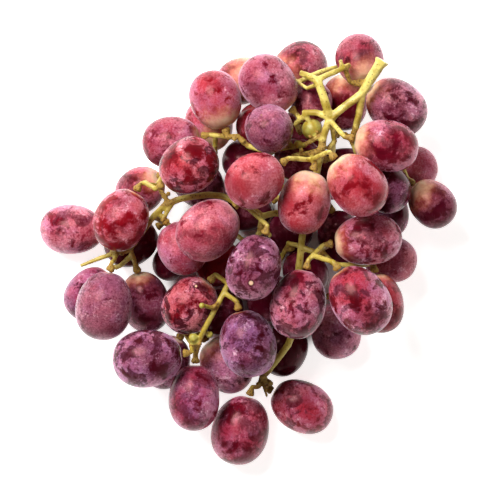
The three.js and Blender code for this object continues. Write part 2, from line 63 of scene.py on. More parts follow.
# How ripe and how handled each berry is: the share of its skin that still has bloom, how thick that
# bloom is, how far its skin has darkened, how strong its dark blotches are, how violet its bloom is
# (all 0 to 1), and how far the pale zone reaches from its stem, in mm. Those that lie in the shade
# underneath share one look with little bloom, which keeps them dark: painted shade.
LOOK_NAMES = ("cover", "bloom", "darkening", "blotches", "violet", "pale_reach")
SHADED_LOOK = (0.3, 0.35, 0, 0.4, 0.2, 1)
LOOKS = {
    # The end of the bunch nearest the cut
    "berry_01": (0.7, 0.5, 1, 0.4, 0.1, 7.5),
    "berry_02": (0.65, 0.45, 0.9, 0.6, 0.2, 10),
    "berry_03": (0.6, 0.4, 0.8, 0.1, 0.1, 14),
    "berry_04": (0.75, 0.9, 0.3, 0.4, 0.35, 6),
    "berry_05": (0.8, 0.7, 0.1, 0.3, 0.35, 10),
    "berry_06": (0.7, 0.55, 0.35, 0.3, 0.45, 2),
    "berry_07": (0.5, 0.5, 0.3, 0.3, 0.2, 4),
    "berry_08": (0.4, 0.4, 0.3, 0.3, 0.2, 8),
    "berry_09": (0.6, 0.7, 0.45, 0.4, 0.25, 7),
    "berry_10": (0.55, 0.7, 0.3, 0.5, 0.3, 8),
    "berry_11": (0.9, 1, 0, 0.2, 0.25, 3),
    "berry_12": (0.5, 0.5, 0.3, 0.4, 0.3, 9),
    # The left shoulder
    "berry_13": (0.5, 0.7, 0.4, 0.8, 0.2, 5),
    "berry_14": (0.5, 0.6, 0.4, 0.3, 0.4, 5),
    "berry_15": (0.7, 0.7, 0.2, 0.5, 0.3, 5),
    "berry_16": (0.5, 0.6, 0.3, 0.2, 0.5, 10),
    "berry_17": (0.75, 1, 0.1, 0.6, 0.3, 5),
    "berry_18": (0.45, 0.6, 0.1, 0.4, 0.2, 4),
    "berry_19": (0.6, 0.6, 0.5, 0.5, 0.3, 6),
    "berry_20": (0.2, 0.2, 0, 0.3, 0.3, 1),
    "berry_21": (0.85, 0.42, 0.4, 0.3, 0.4, 2),
    "berry_22": (0.7, 0.65, 1, 0.4, 0.7, 3),
    "berry_23": (0.6, 0.35, 0.6, 0.3, 0.5, 6),
    # The crown of the bunch
    "berry_24": (0.8, 0.5, 0.45, 0.1, 0.1, 4),
    "berry_25": (0.7, 0.55, 0.3, 0.2, 0.1, 11),
    "berry_26": (0.6, 0.5, 0.2, 0.2, 0.1, 9),
    "berry_27": (0.8, 0.8, 0, 0.4, 0.1, 5),
    "berry_28": (0.7, 1, 0.5, 0.8, 0.55, 2),
    "berry_29": (0.6, 0.75, 0.5, 0.8, 0.35, 3),
    "berry_30": (0.62, 0.75, 0.55, 0.6, 0.5, 4),
    "berry_31": (0.6, 0.8, 0.2, 0.6, 0.3, 8),
    "berry_32": (0.7, 0.8, 0.8, 0.7, 0.85, 3),
    "berry_33": (0.65, 0.85, 0.4, 0.9, 0.1, 4),
    # The right flank
    "berry_34": (0.5, 0.4, 0.6, 0.7, 0.6, 2),
    "berry_35": (0.4, 0.3, 0.5, 0.5, 0.6, 2),
    "berry_36": (0.8, 0.75, 0, 0.3, 0.2, 3),
    "berry_37": (0.5, 0.3, 0.4, 0.4, 0.2, 6),
    "berry_38": (0.65, 0.9, 0, 0.3, 0.4, 2),
    # The left flank and the tip of the bunch
    "berry_39": (0.85, 0.9, 0.25, 0.3, 0.4, 2),
    "berry_41": (0.65, 0.9, 0.5, 0.8, 0.65, 2),
    "berry_42": (0.6, 0.6, 0.6, 0.5, 0.7, 2),
    "berry_43": (0.7, 0.7, 0.4, 0.5, 0.7, 2),
    "berry_44": (0.7, 0.8, 0.7, 0.3, 0.4, 8),
    "berry_45": (0.2, 0.1, 0.8, 0.6, 0.3, 1),
    "berry_46": (0.6, 0.5, 0.4, 0.5, 0.4, 3),
    "berry_47": (0.7, 0.6, 0.4, 0.6, 0.4, 2),
    "berry_59": (0.6, 0.6, 0.1, 0.2, 0.1, 5),
}

# Small healed wounds on two berries, in mm: x, y and radius
HEALED_SPOTS = [(1, -13.6, 1.1), (-21, -14.9, 0.6)]

# Places on the stalk, in mm: x, y, z and radius
YOUNG_BERRIES = [
    (25.4, 47.9, 33.5, 4.3),
    (19.8, 41.7, 37, 2.6),
    (-22.1, -35.7, 31.6, 2.3),
    (-15.6, -34.3, 30.4, 1.8),
]
PALE_KNOBS = [(-18.6, -22.7, 40.2, 1.7)]
DRY_KNOTS = [
    (27, 38.7, 37.4, 2), (29.4, 40.5, 36.8, 2.5), (43, 69, 36, 5), (-4, 45, 31, 4), (7, -54, 18, 5),
    (-33, 22, 27, 4), (2, 18, 31, 4), (-22, -41, 28, 4), (39, 45, 33, 4), (24, 43, 30, 5),
]
BUDS = [
    # Round the crown of the stalk
    (12.6, 42.2, 34.8, 1), (16.5, 42.4, 36.2, 0.9), (9, 41.8, 33.2, 0.8), (24.6, 44.9, 38.4, 0.9),
    (22.6, 41.6, 37.8, 0.9), (27.4, 46.8, 38.6, 0.8), (21, 39.6, 39.4, 0.9), (18, 36.6, 41, 0.9),
    (25.6, 37.4, 38.2, 0.9), (30.4, 40.6, 38, 1), (29.8, 38.2, 37.4, 1), (-2.4, 43, 32.2, 0.9),
    (-5.6, 43.9, 32.4, 0.8),
    # On the left shoulder
    (-42.6, 7.4, 25.2, 1), (-47.2, 0.6, 25.4, 1), (-50.6, -2, 25.6, 0.9), (-34.6, 25, 28.2, 1),
    (-32, 22, 28.2, 0.9),
    # In the middle and at the tip
    (2.6, 1.4, 31.8, 1), (-1.4, -6, 31.4, 0.9), (-13.4, -22.8, 36, 0.9), (-19.6, -38, 31.6, 1),
    (5.4, 8.8, 32.4, 1), (28, -2, 32.4, 1), (33.2, -5, 34.8, 1.1), (31.4, 1.6, 32.6, 1),
    (3.8, -54.2, 18.4, 0.9), (8.6, -53.6, 18.2, 0.9),
]
CUT_END = (53, 74, 40)  # mm
CUT_WAY = Vector((0.66, 0.75, 0))  # the way that the cut end of the stalk faces

# The corky cap where a stem meets its berry, and how far each kind of place shows outside its radius, in mm
CAP_RADIUS = 2
CAP_FADE = 2.5
KNOT_FADE = 2
YOUNG_FADE = 0.6
KNOB_FADE = 0.4

# Shares of the knot height: swellings, warts on fresh bark, and what dry bark adds to these
SWELL_SHARE = 0.6
WART_SHARE = 0.3
DRY_WART_SHARE = 1.7

# The stage, in metres
FLOOR_REACH = 3
FLOOR_PATCH = 0.03  # from duller to glossier acrylic
BUNCH_MIDDLE = (0, 0, 0.03)
KEY_PLACE = (-0.45, 0.55, 0.95)
KEY_SIZE = 0.6
FILL_PLACE = (0.8, -0.6, 0.7)
FILL_SIZE = 0.9
UNLIT_DISC_MIDDLE = (0.005, -0.006, 0)  # of the disc under the bunch where the floor has no painted glow, so the gaps between berries show painted shade
UNLIT_DISC_RADIUS = 0.034
UNLIT_DISC_EDGE = 0.006
CAMERA_DISTANCE = 6
CAMERA_OFFSET = (0.00059, -0.00045, 0.035)  # the bunch stands a little off the photograph's middle
FIELD_WIDTH = 0.2  # what the photograph shows from side to side, at the middle of the bunch


def linear(colour):
    """A colour written as sRGB hex, as linear RGBA."""
    channels = [int(colour[i : i + 2], 16) / 255 for i in (1, 3, 5)]
    bent = [c / 12.92 if c <= 0.04045 else ((c + 0.055) / 1.055) ** 2.4 for c in channels]
    return (*bent, 1.0)


def colour_property(name, description, default):
    return bpy.props.FloatVectorProperty(
        name=name, description=description, subtype="COLOR", size=4, min=0, max=1, default=linear(default)
    )


def length_property(name, description, millimetres):
    return bpy.props.FloatProperty(
        name=name, description=description, subtype="DISTANCE", precision=5, default=millimetres * MM, min=0
    )


def share_property(name, description, default, most=1):
    return bpy.props.FloatProperty(
        name=name, description=description, subtype="FACTOR", default=default, min=0, max=most
    )


def power_property(name, description, watts):
    return bpy.props.FloatProperty(name=name, description=description, unit="POWER", default=watts, min=0)


class BerryShape(bpy.types.PropertyGroup):
    fullness: bpy.props.FloatProperty(
        name="Fullness", description="2 is an ellipsoid, more is barrel-shaped", default=2.12, min=1.5, max=4
    )
    taper: share_property("Taper", "How much wider the tip half is than the stem half", 0.045)
    skin_inset: length_property("Inset", "How far the skin stays inside the packed solid", 0.36)
    lump_height: length_property("Lump height", "How uneven the skin is", 0.16)
    lump_size: length_property("Lump size", "From one swelling to the next", 9)
    lump_sink: share_property("Lump sink", "Share of the lump height that the skin lies deeper", 0.6)
    dimple_depth: length_property("Dimple depth", "The hollow round the stem", 0.7)
    dimple_width: length_property("Dimple width", "How wide that hollow is", 4.4)
    fineness: bpy.props.IntProperty(
        name="Fineness", description="Subdivisions of a berry", default=5, min=3, max=6
    )


class SkinColours(bpy.types.PropertyGroup):
    crimson: colour_property("Crimson", "Skin of a berry that ripened in the light", "#9A0E1A")
    rose: colour_property("Rose", "Skin of an ordinary berry", "#860E26")
    plum: colour_property("Plum", "Skin of the darkest berries", "#5A0A22")
    deep: colour_property("Deep", "Blotches where the pigment is densest", "#38040E")
    bloom: colour_property("Bloom", "Waxy powder on the skin", "#E08690")
    cool_bloom: colour_property("Cool bloom", "Bloom on the darkest berries", "#A870A6")
    dust: colour_property("Dust", "Where the bloom lies thickest", "#F2CDD6")
    pale: colour_property("Pale end", "Skin that the stem kept in the shade", "#EBCFA6")
    blush: colour_property("Blush", "Between the pale end and the red", "#CB6650")
    scar: colour_property("Scar", "Dried corky marks", "#8C6A48")
    healed: colour_property("Healed", "Healed spots in the skin", "#EBC4A0")
    shine: colour_property("Shine", "Tint of the gloss on bare skin", "#FFB4B4")
    haze: colour_property("Haze", "Tint of the soft sheen of the bloom", "#E8BFD8")


class SkinPattern(bpy.types.PropertyGroup):
    drift: length_property("Drift", "From lighter to darker skin", 15)
    blotch: length_property("Blotch", "Size of a dark blotch", 7.5)
    freckle: length_property("Freckle", "Size of a freckle", 1.8)
    wear: length_property("Wear", "Size of a patch that lost its bloom", 6.5)
    rag: length_property("Rag", "How coarsely the pale end frays", 5)
    cloud: length_property("Cloud", "Size of a cloud in the bloom", 4)
    thickness: length_property("Thickness", "From thin to thick bloom", 13)
    scuff: length_property("Scuff", "Width of a brushed streak", 0.9)
    powder: length_property("Powder", "Grain of the bloom, drawn coarse so that it shows", 0.8)
    hue: length_property("Hue", "From redder to bluer bloom", 9)
    heap: length_property("Heap", "Size of a heap of dust", 2.5)
    heap_spread: length_property("Heap spread", "From dusty to clean zones", 9)
    pore: length_property("Pore spacing", "From one pore to the next", 1.7)
    pore_spread: length_property("Pore spread", "From zones with pores to zones without", 7)
    grain: length_property("Grain", "Size of the fine unevenness that breaks the gloss", 0.9)


class StalkLook(bpy.types.PropertyGroup):
    voxel: length_property("Voxel", "Size of the steps that the stems are grown together with", 0.42)
    knot_height: length_property("Knot height", "How uneven the stems are", 0.22)
    swell: length_property("Swell", "From one swelling of a stem to the next", 2.6)
    wart: length_property("Wart", "From one wart to the next", 1.2)
    cut_depth: length_property("Cut depth", "How much of the end shows cut wood", 0.7)
    patch: length_property("Patch", "Size of a patch of older bark", 6)
    fibre: length_property("Fibre", "Width of a fibre", 1)
    fresh_reach: length_property("Fresh reach", "How far from the cut the bark is fresh", 30)
    old_reach: length_property("Old reach", "How far from the cut the bark is oldest", 110)
    cork: length_property("Cork", "Size of a corky patch", 1.6)
    crust: length_property("Crust", "Size of a scale of crust", 0.8)
    lenticel: length_property("Lenticel spacing", "From one dark lenticel to the next", 1.5)
    mottle: length_property("Mottle", "Size of a patch on a stunted berry", 2.5)
    light: colour_property("Light", "Fresh bark", "#DCCA6E")
    olive: colour_property("Olive", "Older bark", "#A0882C")
    stain: colour_property("Stain", "Bark that dries round knots and caps", "#96702A")
    brown: colour_property("Brown", "Crust and lenticels", "#5A4018")
    young: colour_property("Young", "Skin of the stunted berries", "#A8A048")
    cut: colour_property("Cut", "Fresh wood at the cut", "#F0E4B4")


class StageLook(bpy.types.PropertyGroup):
    floor: colour_property("Floor", "White acrylic sheet", "#FAFAF8")
    key_power: power_property("Key", "Large softbox at upper left", 25)
    fill_power: power_property("Fill", "Softbox at lower right", 1.2)
    sky: share_property("Sky", "Light from the ceiling of the white room", 0.05)
    walls: share_property("Walls", "Light from the walls of the white room", 1, most=3)
    # Painted light: the floor's glow, which washes the bunch's cast shadow out round its outline
    painted_glow: share_property("Glow", "Light that comes through the floor from below", 0.8)


# Settings that many nodes share
SOFT = {"interpolation_type": "SMOOTHSTEP"}
PRODUCT = {"operation": "MULTIPLY", "use_clamp": True}
SCALE_AND_ADD = {"operation": "MULTIPLY_ADD"}
COLOURS = {"data_type": "RGBA"}
UNDER, OVER = 6, 7  # the sockets of a Mix node's two colours


def add(tree, kind, inputs=None, **settings):
    """Adds a node; an input is given a value, or the node or socket that it is linked from."""
    node = tree.nodes.new(kind)
    for name, value in settings.items():
        setattr(node, name, value)
    for key, value in (inputs or {}).items():
        if isinstance(value, bpy.types.Node):
            value = next(socket for socket in value.outputs if socket.enabled)
        if isinstance(value, bpy.types.NodeSocket):
            tree.links.new(value, node.inputs[key])
        else:
            node.inputs[key].default_value = value
    return node


def new_material(name):
    material = bpy.data.materials.new(name)
    material.use_nodes = True
    material.node_tree.nodes.clear()
    return material, material.node_tree


def patches(tree, place, size, low, high, least=0.0, most=1.0, shift=0.0, detail=4, ragged=0.55, warp=0):
    """Soft-edged patches of a size, cut from cloudy noise that runs from about 0.25 to 0.75.

    The share is least where the noise is under low, and most where it is over high. The shift
    keeps one pattern off another.
    """
    moved = add(tree, "ShaderNodeMapping", {"Vector": place, "Location": (shift, shift, shift)})
    clouds = add(
        tree,
        "ShaderNodeTexNoise",
        {"Vector": moved, "Scale": 1 / size, "Detail": detail, "Roughness": ragged, "Distortion": warp},
    )
    return add(
        tree,
        "ShaderNodeMapRange",
        {"Value": clouds, "From Min": low, "From Max": high, "To Min": least, "To Max": most},
        **SOFT,
    )


def pigment(tree, place, berry, ground):
    """Colour in the skin, which drifts slowly from light to dark and gathers in blotches and freckles."""
    deep = bpy.context.scene.skin_colours.deep
    pattern = bpy.context.scene.skin_pattern
    drift = patches(tree, place, pattern.drift, low=0.38, high=0.62, detail=2)
    drift = add(tree, "ShaderNodeMath", {0: berry["darkening"], 1: drift}, **PRODUCT)
    skin = add(tree, "ShaderNodeMix", {"Factor": drift, UNDER: ground, OVER: deep}, **COLOURS)
    blotches = patches(
        tree, place, pattern.blotch, low=0.49, high=0.57, shift=0.3, detail=8, ragged=0.62, warp=0.5
    )
    blotches = add(tree, "ShaderNodeMath", {0: blotches, 1: berry["blotches"]}, **PRODUCT)
    skin = add(tree, "ShaderNodeMix", {"Factor": blotches, UNDER: skin, OVER: deep}, **COLOURS)
    freckles = patches(tree, place, pattern.freckle, low=0.57, high=0.61, shift=1.9, detail=5, ragged=0.6)
    strength = add(tree, "ShaderNodeMath", {0: berry["blotches"], 1: 0.5, 2: 0.15}, **SCALE_AND_ADD)
    freckles = add(tree, "ShaderNodeMath", {0: freckles, 1: strength}, **PRODUCT)
    return skin, blotches, freckles


def rub(tree, place, berry, skin, blotches, freckles):
    """Skin darker where handling rubbed the bloom off, and how much bloom it kept: less on dark spots."""
    pattern = bpy.context.scene.skin_pattern
    moved = add(tree, "ShaderNodeMapping", {"Vector": place, "Location": (0.7, 0.7, 0.7)})
    wear = add(
        tree,
        "ShaderNodeTexNoise",
        {"Vector": moved, "Scale": 1 / pattern.wear, "Detail": 9, "Roughness": 0.62, "Distortion": 0.3},
    )
    cover = add(tree, "ShaderNodeMath", {0: berry["cover"], 1: 0.36, 2: wear}, **SCALE_AND_ADD)
    kept = add(tree, "ShaderNodeMapRange", {"Value": cover, "From Min": 0.61, "From Max": 0.74}, **SOFT)
    on_blotches = add(tree, "ShaderNodeMapRange", {"Value": blotches, "To Min": 1, "To Max": 0.15}, **SOFT)
    kept = add(tree, "ShaderNodeMath", {0: kept, 1: on_blotches}, **PRODUCT)
    on_freckles = add(
        tree, "ShaderNodeMapRange", {"Value": freckles, "From Max": 0.6, "To Min": 1, "To Max": 0.35}, **SOFT
    )
    kept = add(tree, "ShaderNodeMath", {0: kept, 1: on_freckles}, **PRODUCT)
    rubbed = add(tree, "ShaderNodeMapRange", {"Value": kept, "To Min": 1, "To Max": 0}, **SOFT)
    darker = add(tree, "ShaderNodeMath", {0: berry["darkening"], 1: 0.6, 2: 0.36}, **SCALE_AND_ADD)
    bared = add(tree, "ShaderNodeMath", {0: rubbed, 1: darker}, **PRODUCT)
    deep = bpy.context.scene.skin_colours.deep
    skin = add(tree, "ShaderNodeMix", {"Factor": bared, UNDER: skin, OVER: deep}, **COLOURS)
    return skin, kept


def fade_stem_end(tree, place, berry, skin):
    """The end that the stem kept in the shade is pale, and frays into the red through a blush."""
    colours = bpy.context.scene.skin_colours
    pattern = bpy.context.scene.skin_pattern
    moved = add(tree, "ShaderNodeMapping", {"Vector": place, "Location": (0.5, 0.5, 0.5)})
    rag = add(
        tree,
        "ShaderNodeTexNoise",
        {"Vector": moved, "Scale": 1 / pattern.rag, "Detail": 6, "Roughness": 0.62},
    )
    reach = add(tree, "ShaderNodeMath", {0: berry["from_stem"], 1: berry["pale_reach"]}, operation="DIVIDE")
    reach = add(tree, "ShaderNodeMath", {0: rag, 1: 1.4, 2: reach}, **SCALE_AND_ADD)
    blush = add(
        tree,
        "ShaderNodeMapRange",
        {"Value": reach, "From Min": 1.2, "From Max": 2.3, "To Min": 0.75, "To Max": 0},
        **SOFT,
    )
    skin = add(tree, "ShaderNodeMix", {"Factor": blush, UNDER: skin, OVER: colours.blush}, **COLOURS)
    pale = add(
        tree,
        "ShaderNodeMapRange",
        {"Value": reach, "From Min": 0.9, "From Max": 1.9, "To Min": 0.9, "To Max": 0},
        **SOFT,
    )
    skin = add(tree, "ShaderNodeMix", {"Factor": pale, UNDER: skin, OVER: colours.pale}, **COLOURS)
    return skin, pale


def spread_bloom(tree, place, berry, skin, kept, pale):
    """Waxy powder: cloudy, brushed thin in streaks, bluer in zones, and heaped up as dust in places."""
    colours = bpy.context.scene.skin_colours
    pattern = bpy.context.scene.skin_pattern
    clouds = patches(tree, place, pattern.cloud, low=0.36, high=0.64, shift=2.7, detail=7, ragged=0.7)
    clouds = add(tree, "ShaderNodeMath", {0: clouds, 1: 0.3, 2: 0.6}, **SCALE_AND_ADD)
    veil = add(tree, "ShaderNodeMath", {0: kept, 1: clouds}, **PRODUCT)
    veil = add(tree, "ShaderNodeMath", {0: veil, 1: berry["bloom"]}, **PRODUCT)
    thick = patches(
        tree, place, pattern.thickness, low=0.38, high=0.62, least=0.35, most=1.1, shift=4.1, detail=1
    )
    veil = add(tree, "ShaderNodeMath", {0: veil, 1: thick}, **PRODUCT)
    stretched = add(
        tree, "ShaderNodeMapping", {"Vector": place, "Scale": (1, 0.18, 0.4), "Rotation": (0.3, 0.2, 0.7)}
    )
    scuffs = patches(tree, stretched, pattern.scuff, low=0.56, high=0.68, most=0.14, shift=3.3, ragged=0.6)
    scuffed = add(tree, "ShaderNodeMapRange", {"Value": kept, "To Min": 0.3}, **SOFT)
    veil = add(tree, "ShaderNodeMath", {0: scuffs, 1: scuffed, 2: veil}, **SCALE_AND_ADD)
    powder = patches(
        tree,
        place,
        pattern.powder,
        low=0.38,
        high=0.62,
        least=0.55,
        most=1.05,
        shift=0.1,
        detail=3,
        ragged=0.65,
    )
    bloom = add(tree, "ShaderNodeMath", {0: powder, 1: veil}, **PRODUCT)
    on_pale = add(tree, "ShaderNodeMapRange", {"Value": pale, "To Min": 1, "To Max": 0.6}, **SOFT)
    bloom = add(tree, "ShaderNodeMath", {0: bloom, 1: on_pale}, **PRODUCT)
    hue = patches(tree, place, pattern.hue, low=0.4, high=0.6, least=-0.15, most=0.15, shift=5.5, detail=3)
    violet = add(tree, "ShaderNodeMath", {0: berry["violet"], 1: hue}, operation="ADD", use_clamp=True)
    wax = add(
        tree, "ShaderNodeMix", {"Factor": violet, UNDER: colours.bloom, OVER: colours.cool_bloom}, **COLOURS
    )
    skin = add(tree, "ShaderNodeMix", {"Factor": bloom, UNDER: skin, OVER: wax}, **COLOURS)

    heaps = patches(tree, place, pattern.heap, low=0.5, high=0.63, most=0.5, shift=6.1, detail=8, ragged=0.72)
    spread = patches(tree, place, pattern.heap_spread, low=0.42, high=0.6, least=0.1, shift=7.7, detail=2)
    heaps = add(tree, "ShaderNodeMath", {0: heaps, 1: spread}, **PRODUCT)
    on_bloom = add(tree, "ShaderNodeMapRange", {"Value": bloom, "From Min": 0.1, "From Max": 0.6}, **SOFT)
    heaps = add(tree, "ShaderNodeMath", {0: heaps, 1: on_bloom}, **PRODUCT)
    skin = add(tree, "ShaderNodeMix", {"Factor": heaps, UNDER: skin, OVER: colours.dust}, **COLOURS)
    return skin, bloom


def mark(tree, place, berry, skin):
    """Pinprick pores, the dried scar at the tip, and the healed spots with their dark rims."""
    colours = bpy.context.scene.skin_colours
    pattern = bpy.context.scene.skin_pattern
    pores = add(tree, "ShaderNodeTexVoronoi", {"Vector": place, "Scale": 1 / pattern.pore})
    pores = add(
        tree,
        "ShaderNodeMapRange",
        {"Value": pores, "From Min": 0.08, "From Max": 0.15, "To Min": 0.6, "To Max": 0},
        **SOFT,
    )
    spread = patches(tree, place, pattern.pore_spread, low=0.5, high=0.62, shift=2.1)
    pores = add(tree, "ShaderNodeMath", {0: pores, 1: spread}, **PRODUCT)
    skin = add(tree, "ShaderNodeMix", {"Factor": pores, UNDER: skin, OVER: colours.deep}, **COLOURS)
    scar = add(
        tree,
        "ShaderNodeMapRange",
        {"Value": berry["from_tip"], "From Min": 0.35, "From Max": 0.75, "To Min": 0.85, "To Max": 0},
        **SOFT,
    )
    skin = add(tree, "ShaderNodeMix", {"Factor": scar, UNDER: skin, OVER: colours.scar}, **COLOURS)

    flat = add(tree, "ShaderNodeVectorMath", {0: place, 1: (1, 1, 0)}, operation="MULTIPLY")
    for x, y, radius in HEALED_SPOTS:
        away = add(tree, "ShaderNodeVectorMath", {0: flat, 1: (x * MM, y * MM, 0)}, operation="DISTANCE")
        edge = radius * MM
        rim = add(
            tree,
            "ShaderNodeMapRange",
            {"Value": away, "From Min": edge, "From Max": 1.7 * edge, "To Min": 0.75, "To Max": 0},
            **SOFT,
        )
        skin = add(tree, "ShaderNodeMix", {"Factor": rim, UNDER: skin, OVER: colours.deep}, **COLOURS)
        heart = add(
            tree,
            "ShaderNodeMapRange",
            {"Value": away, "From Min": 0.5 * edge, "From Max": edge, "To Min": 0.9, "To Max": 0},
            **SOFT,
        )
        skin = add(tree, "ShaderNodeMix", {"Factor": heart, UNDER: skin, OVER: colours.healed}, **COLOURS)
    return skin


def grape_skin(name, ground):
    """Grape skin: thin, faintly translucent and mottled, under a waxy powder that veils its gloss."""
    colours = bpy.context.scene.skin_colours
    material, tree = new_material(name)
    place = add(tree, "ShaderNodeTexCoord").outputs["Object"]
    # What each berry's mesh says of its look, and how far a point lies from its ends, in mm
    berry = {
        look: add(tree, "ShaderNodeAttribute", attribute_name=look).outputs["Fac"]
        for look in (*LOOK_NAMES, "from_stem", "from_tip")
    }
    skin, blotches, freckles = pigment(tree, place, berry, ground)
    skin, kept = rub(tree, place, berry, skin, blotches, freckles)
    skin, pale = fade_stem_end(tree, place, berry, skin)
    skin, bloom = spread_bloom(tree, place, berry, skin, kept, pale)
    skin = mark(tree, place, berry, skin)

    grain_size = bpy.context.scene.skin_pattern.grain
    grain = add(
        tree, "ShaderNodeTexNoise", {"Vector": place, "Scale": 1 / grain_size, "Detail": 4, "Roughness": 0.55}
    )
    relief = add(tree, "ShaderNodeBump", {"Height": grain, "Strength": 0.12, "Distance": 0.06 * MM})
    roughness = add(
        tree, "ShaderNodeMapRange", {"Value": bloom, "From Max": 0.5, "To Min": 0.22, "To Max": 0.38}, **SOFT
    )
    sheen = add(
        tree, "ShaderNodeMapRange", {"Value": bloom, "From Max": 0.4, "To Min": 0.02, "To Max": 0.6}, **SOFT
    )
    shader = add(
        tree,
        "ShaderNodeBsdfPrincipled",
        {
            "Base Color": skin,
            "Roughness": roughness,
            "IOR": 1.4,
            "Specular IOR Level": 0.3,
            "Specular Tint": colours.shine,
            "Subsurface Weight": 0.3,
            "Subsurface Radius": (1.0, 0.2, 0.15),
            "Subsurface Scale": 3 * MM,
            "Sheen Weight": sheen,
            "Sheen Roughness": 0.45,
            "Sheen Tint": colours.haze,
            "Normal": relief,
        },
    )
    add(tree, "ShaderNodeOutputMaterial", {"Surface": shader})
    return material


def grape_bark():
    """Living grape stalk: waxy green bark, olive in patches, brown and corky where it dried."""
    look = bpy.context.scene.stalk_look
    material, tree = new_material("Green stalk bark")
    place = add(tree, "ShaderNodeTexCoord").outputs["Object"]
    dry, young, cut = (
        add(tree, "ShaderNodeAttribute", attribute_name=zone).outputs["Fac"]
        for zone in ("dry", "young", "cut")
    )
    older = patches(tree, place, look.patch, low=0.42, high=0.66)
    bark = add(tree, "ShaderNodeMix", {"Factor": older, UNDER: look.light, OVER: look.olive}, **COLOURS)
    fibres = patches(tree, place, look.fibre, low=0.5, high=0.66, most=0.5, shift=0.4, detail=3)
    bark = add(tree, "ShaderNodeMix", {"Factor": fibres, UNDER: bark, OVER: look.olive}, **COLOURS)

    # The shoots are older and duller the farther they are from the cut
    age = add(tree, "ShaderNodeVectorMath", {0: place, 1: Vector(CUT_END) * MM}, operation="DISTANCE")
    age = add(
        tree,
        "ShaderNodeMapRange",
        {"Value": age, "From Min": look.fresh_reach, "From Max": look.old_reach, "To Max": 0.7},
        **SOFT,
    )
    bark = add(tree, "ShaderNodeMix", {"Factor": age, UNDER: bark, OVER: look.olive}, **COLOURS)

    # Corky and stained round knots and caps, with dark lenticels
    moved = add(tree, "ShaderNodeMapping", {"Vector": place, "Location": (0.9, 0.9, 0.9)})
    cork = add(
        tree, "ShaderNodeTexNoise", {"Vector": moved, "Scale": 1 / look.cork, "Detail": 5, "Roughness": 0.65}
    )
    dried = add(tree, "ShaderNodeMath", {0: dry, 1: 0.5, 2: cork}, **SCALE_AND_ADD)
    dried = add(tree, "ShaderNodeMapRange", {"Value": dried, "From Min": 0.6, "From Max": 0.8}, **SOFT)
    stained = add(tree, "ShaderNodeMath", {0: dried, 1: 0.85}, **PRODUCT)
    bark = add(tree, "ShaderNodeMix", {"Factor": stained, UNDER: bark, OVER: look.stain}, **COLOURS)
    crust = patches(tree, place, look.crust, low=0.52, high=0.62, shift=1.7, detail=3)
    crust = add(tree, "ShaderNodeMath", {0: dried, 1: crust}, **PRODUCT)
    crust = add(tree, "ShaderNodeMath", {0: crust, 1: 0.8}, **PRODUCT)
    bark = add(tree, "ShaderNodeMix", {"Factor": crust, UNDER: bark, OVER: look.brown}, **COLOURS)
    lenticels = add(tree, "ShaderNodeTexVoronoi", {"Vector": place, "Scale": 1 / look.lenticel})
    lenticels = add(
        tree,
        "ShaderNodeMapRange",
        {"Value": lenticels, "From Min": 0.12, "From Max": 0.24, "To Min": 0.75, "To Max": 0},
        **SOFT,
    )
    bark = add(tree, "ShaderNodeMix", {"Factor": lenticels, UNDER: bark, OVER: look.brown}, **COLOURS)

    # Stunted berries stayed smooth and green; the cut shows pale wood
    mottled = patches(tree, place, look.mottle, low=0.4, high=0.62, shift=2.2)
    green = add(tree, "ShaderNodeMix", {"Factor": mottled, UNDER: look.young, OVER: look.olive}, **COLOURS)
    bark = add(tree, "ShaderNodeMix", {"Factor": young, UNDER: bark, OVER: green}, **COLOURS)
    bark = add(tree, "ShaderNodeMix", {"Factor": cut, UNDER: bark, OVER: look.cut}, **COLOURS)

    relief = add(tree, "ShaderNodeBump", {"Height": cork, "Strength": 0.5, "Distance": 0.25 * MM})
    roughness = add(tree, "ShaderNodeMapRange", {"Value": dried, "To Min": 0.42, "To Max": 0.7}, **SOFT)
    shader = add(
        tree,
        "ShaderNodeBsdfPrincipled",
        {
            "Base Color": bark,
            "Roughness": roughness,
            "IOR": 1.45,
            "Subsurface Weight": 0.15,
            "Subsurface Radius": (1.0, 0.9, 0.3),
            "Subsurface Scale": 0.9 * MM,
            "Normal": relief,
        },
    )
    add(tree, "ShaderNodeOutputMaterial", {"Surface": shader})
    return material


def light_table():
    """White acrylic sheet, matt, with a painted glow from below that washes the bunch's cast shadow out round
    its outline; in a disc under the thick of the bunch it does not glow, so the gaps between berries show
    painted shade.
    """
    look = bpy.context.scene.stage_look
    material, tree = new_material("White acrylic light table")
    place = add(tree, "ShaderNodeTexCoord").outputs["Object"]
    off_unlit_disc = add(tree, "ShaderNodeVectorMath", {0: place, 1: UNLIT_DISC_MIDDLE}, operation="DISTANCE")
    # The glow is painted light that washes out the cast shadow; it is off in a disc under the bunch, so the
    # gaps there show painted shade
    painted_glow = add(
        tree,
        "ShaderNodeMapRange",
        {
            "Value": off_unlit_disc,
            "From Min": UNLIT_DISC_RADIUS,
            "From Max": UNLIT_DISC_RADIUS + UNLIT_DISC_EDGE,
            "To Max": look.painted_glow,
        },
        **SOFT,
    )
    shader = add(
        tree,
        "ShaderNodeBsdfPrincipled",
        {
            "Base Color": look.floor,
            "Roughness": patches(tree, place, FLOOR_PATCH, low=0.3, high=0.7, least=0.85, most=0.95),
            "Emission Color": look.floor,
            "Emission Strength": painted_glow,
        },
    )
    add(tree, "ShaderNodeOutputMaterial", {"Surface": shader})
    return material


